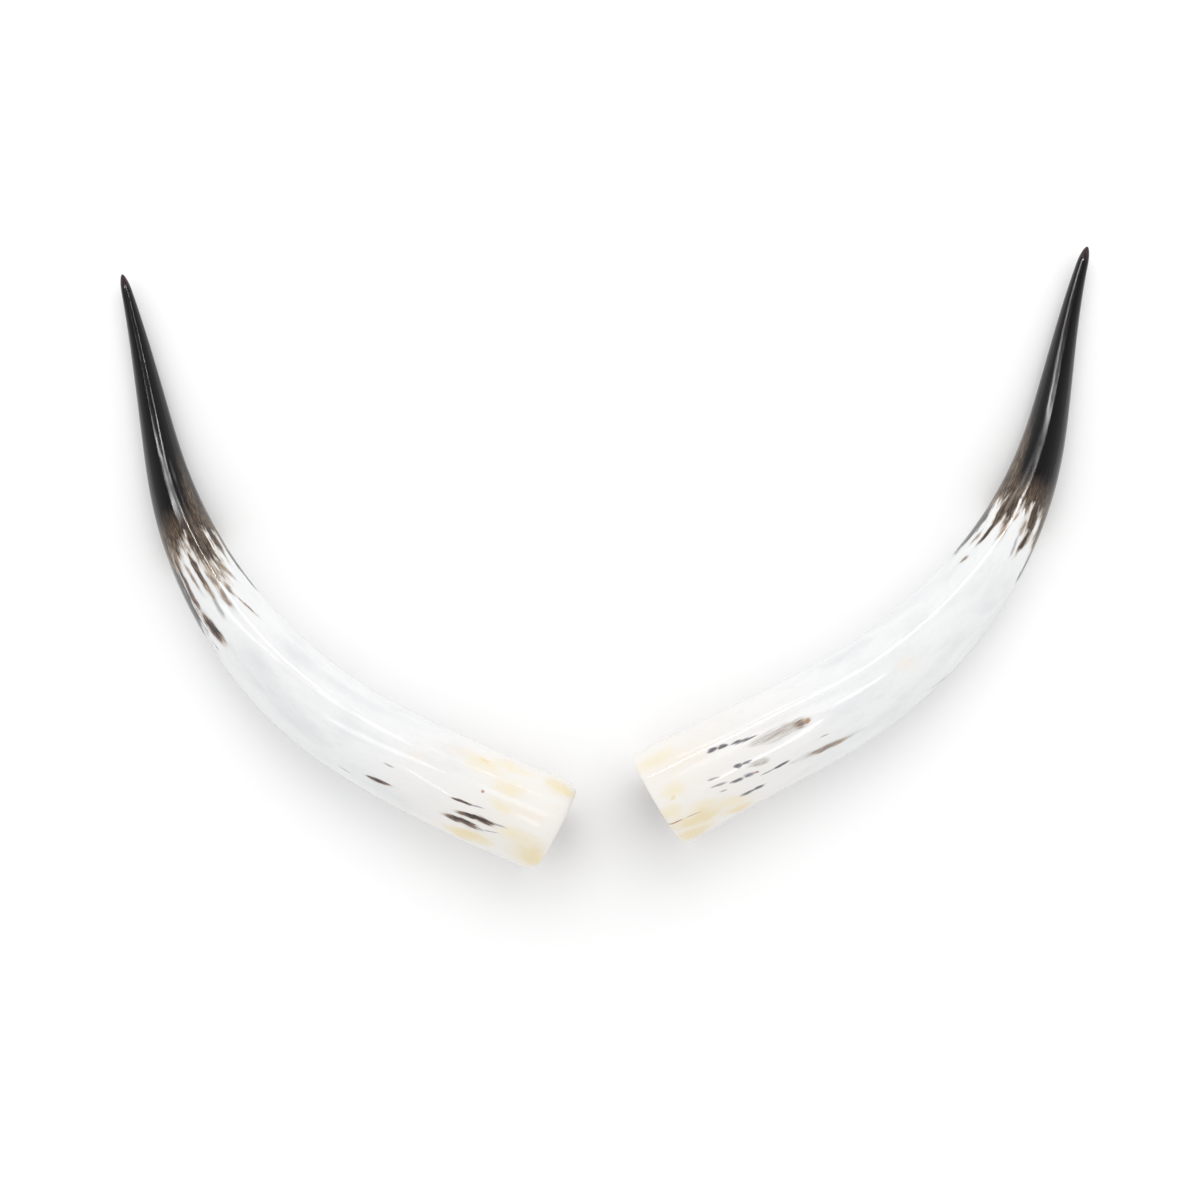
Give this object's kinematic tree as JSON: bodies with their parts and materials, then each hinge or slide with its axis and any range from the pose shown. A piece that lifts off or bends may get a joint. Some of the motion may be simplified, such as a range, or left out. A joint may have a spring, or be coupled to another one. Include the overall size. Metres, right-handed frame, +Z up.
{
  "type": "pair of polished cow horns",
  "caption": "Matched left and right cow horns, polished white with black tips, long curved taper, hollow at the sawn base, lying on their sides with the tips swept apart",
  "frame": {"origin": "middle of the pair's footprint, on the surface that both horns lie on", "axes": "+Z up, +X from the left horn to the right horn, +Y from the sawn bases towards the tips"},
  "size_m": [0.9733, 0.6211, 0.0918],
  "materials": {
    "left_horn": "polished horn, creamy white with tan patches and dark streaks, black towards the tip",
    "right_horn": "polished horn, creamy white with tan patches and dark streaks, black towards the tip"
  },
  "bodies": {
    "root": {"left_horn": "left_horn", "right_horn": "right_horn"}
  },
  "joints": []
}
